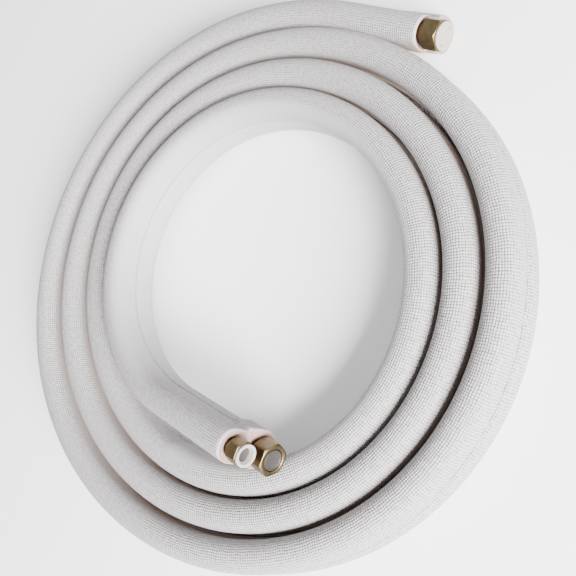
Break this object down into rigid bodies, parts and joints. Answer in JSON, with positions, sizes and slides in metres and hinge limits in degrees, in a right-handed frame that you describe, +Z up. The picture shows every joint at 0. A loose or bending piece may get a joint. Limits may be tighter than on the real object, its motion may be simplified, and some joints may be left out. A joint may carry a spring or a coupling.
{
  "type": "mini split line set",
  "caption": "Coiled insulated copper line set for a split air conditioner: bonded liquid and suction lines in white embossed foam, with flare nuts and end plugs.",
  "frame": {"origin": "middle of the footprint, on the floor that the coil lies on", "axes": "+Z up along the coil's axis, +X along the coil's longest extent, towards the side where both cut ends point"},
  "size_m": [0.4872, 0.4666, 0.0979],
  "materials": {
    "foam": "satin, embossed",
    "copper": "drawn copper",
    "brass": "machined",
    "white_plug": "satin",
    "grey_plug": "satin"
  },
  "bodies": {
    "line_set": {"suction_line_foam": "foam", "liquid_line_foam": "foam", "suction_line_copper": "copper", "liquid_line_copper": "copper"},
    "outer_suction_plug": {"outer_suction_plug": "white_plug"},
    "inner_liquid_nut": {"inner_liquid_nut": "brass"},
    "inner_liquid_plug": {"inner_liquid_plug": "white_plug"},
    "inner_suction_nut": {"inner_suction_nut": "brass"},
    "inner_suction_plug": {"inner_suction_plug": "grey_plug"},
    "outer_liquid_nut": {"outer_liquid_nut": "brass"},
    "outer_liquid_plug": {"outer_liquid_plug": "white_plug"}
  },
  "joints": [
    {"name": "inner_liquid_nut_swivel", "type": "hinge", "parent": "line_set", "child": "inner_liquid_nut", "pos_m": [0.11106, -0.11622, 0.08699], "axis": [0.9876, 0.004, 0.1568], "continuous": true},
    {"name": "inner_liquid_plug_pull", "type": "slide", "parent": "inner_liquid_nut", "child": "inner_liquid_plug", "axis": [0.9876, 0.004, 0.1568], "range_m": [0, 0.012]},
    {"name": "inner_suction_nut_swivel", "type": "hinge", "parent": "line_set", "child": "inner_suction_nut", "pos_m": [0.1159, -0.1162, 0.06274], "axis": [0.9876, 0.004, 0.1568], "continuous": true},
    {"name": "inner_suction_plug_pull", "type": "slide", "parent": "inner_suction_nut", "child": "inner_suction_plug", "axis": [0.9876, 0.004, 0.1568], "range_m": [0, 0.012]},
    {"name": "outer_liquid_nut_swivel", "type": "hinge", "parent": "line_set", "child": "outer_liquid_nut", "pos_m": [0.10283, 0.20764, 0.0373], "axis": [0.9959, -0.0903, 0], "continuous": true},
    {"name": "outer_liquid_plug_pull", "type": "slide", "parent": "outer_liquid_nut", "child": "outer_liquid_plug", "axis": [0.9959, -0.0903, 0], "range_m": [0, 0.012]},
    {"name": "outer_suction_plug_pull", "type": "slide", "parent": "line_set", "child": "outer_suction_plug", "axis": [0.9993, -0.0363, 0], "range_m": [0, 0.014]}
  ]
}
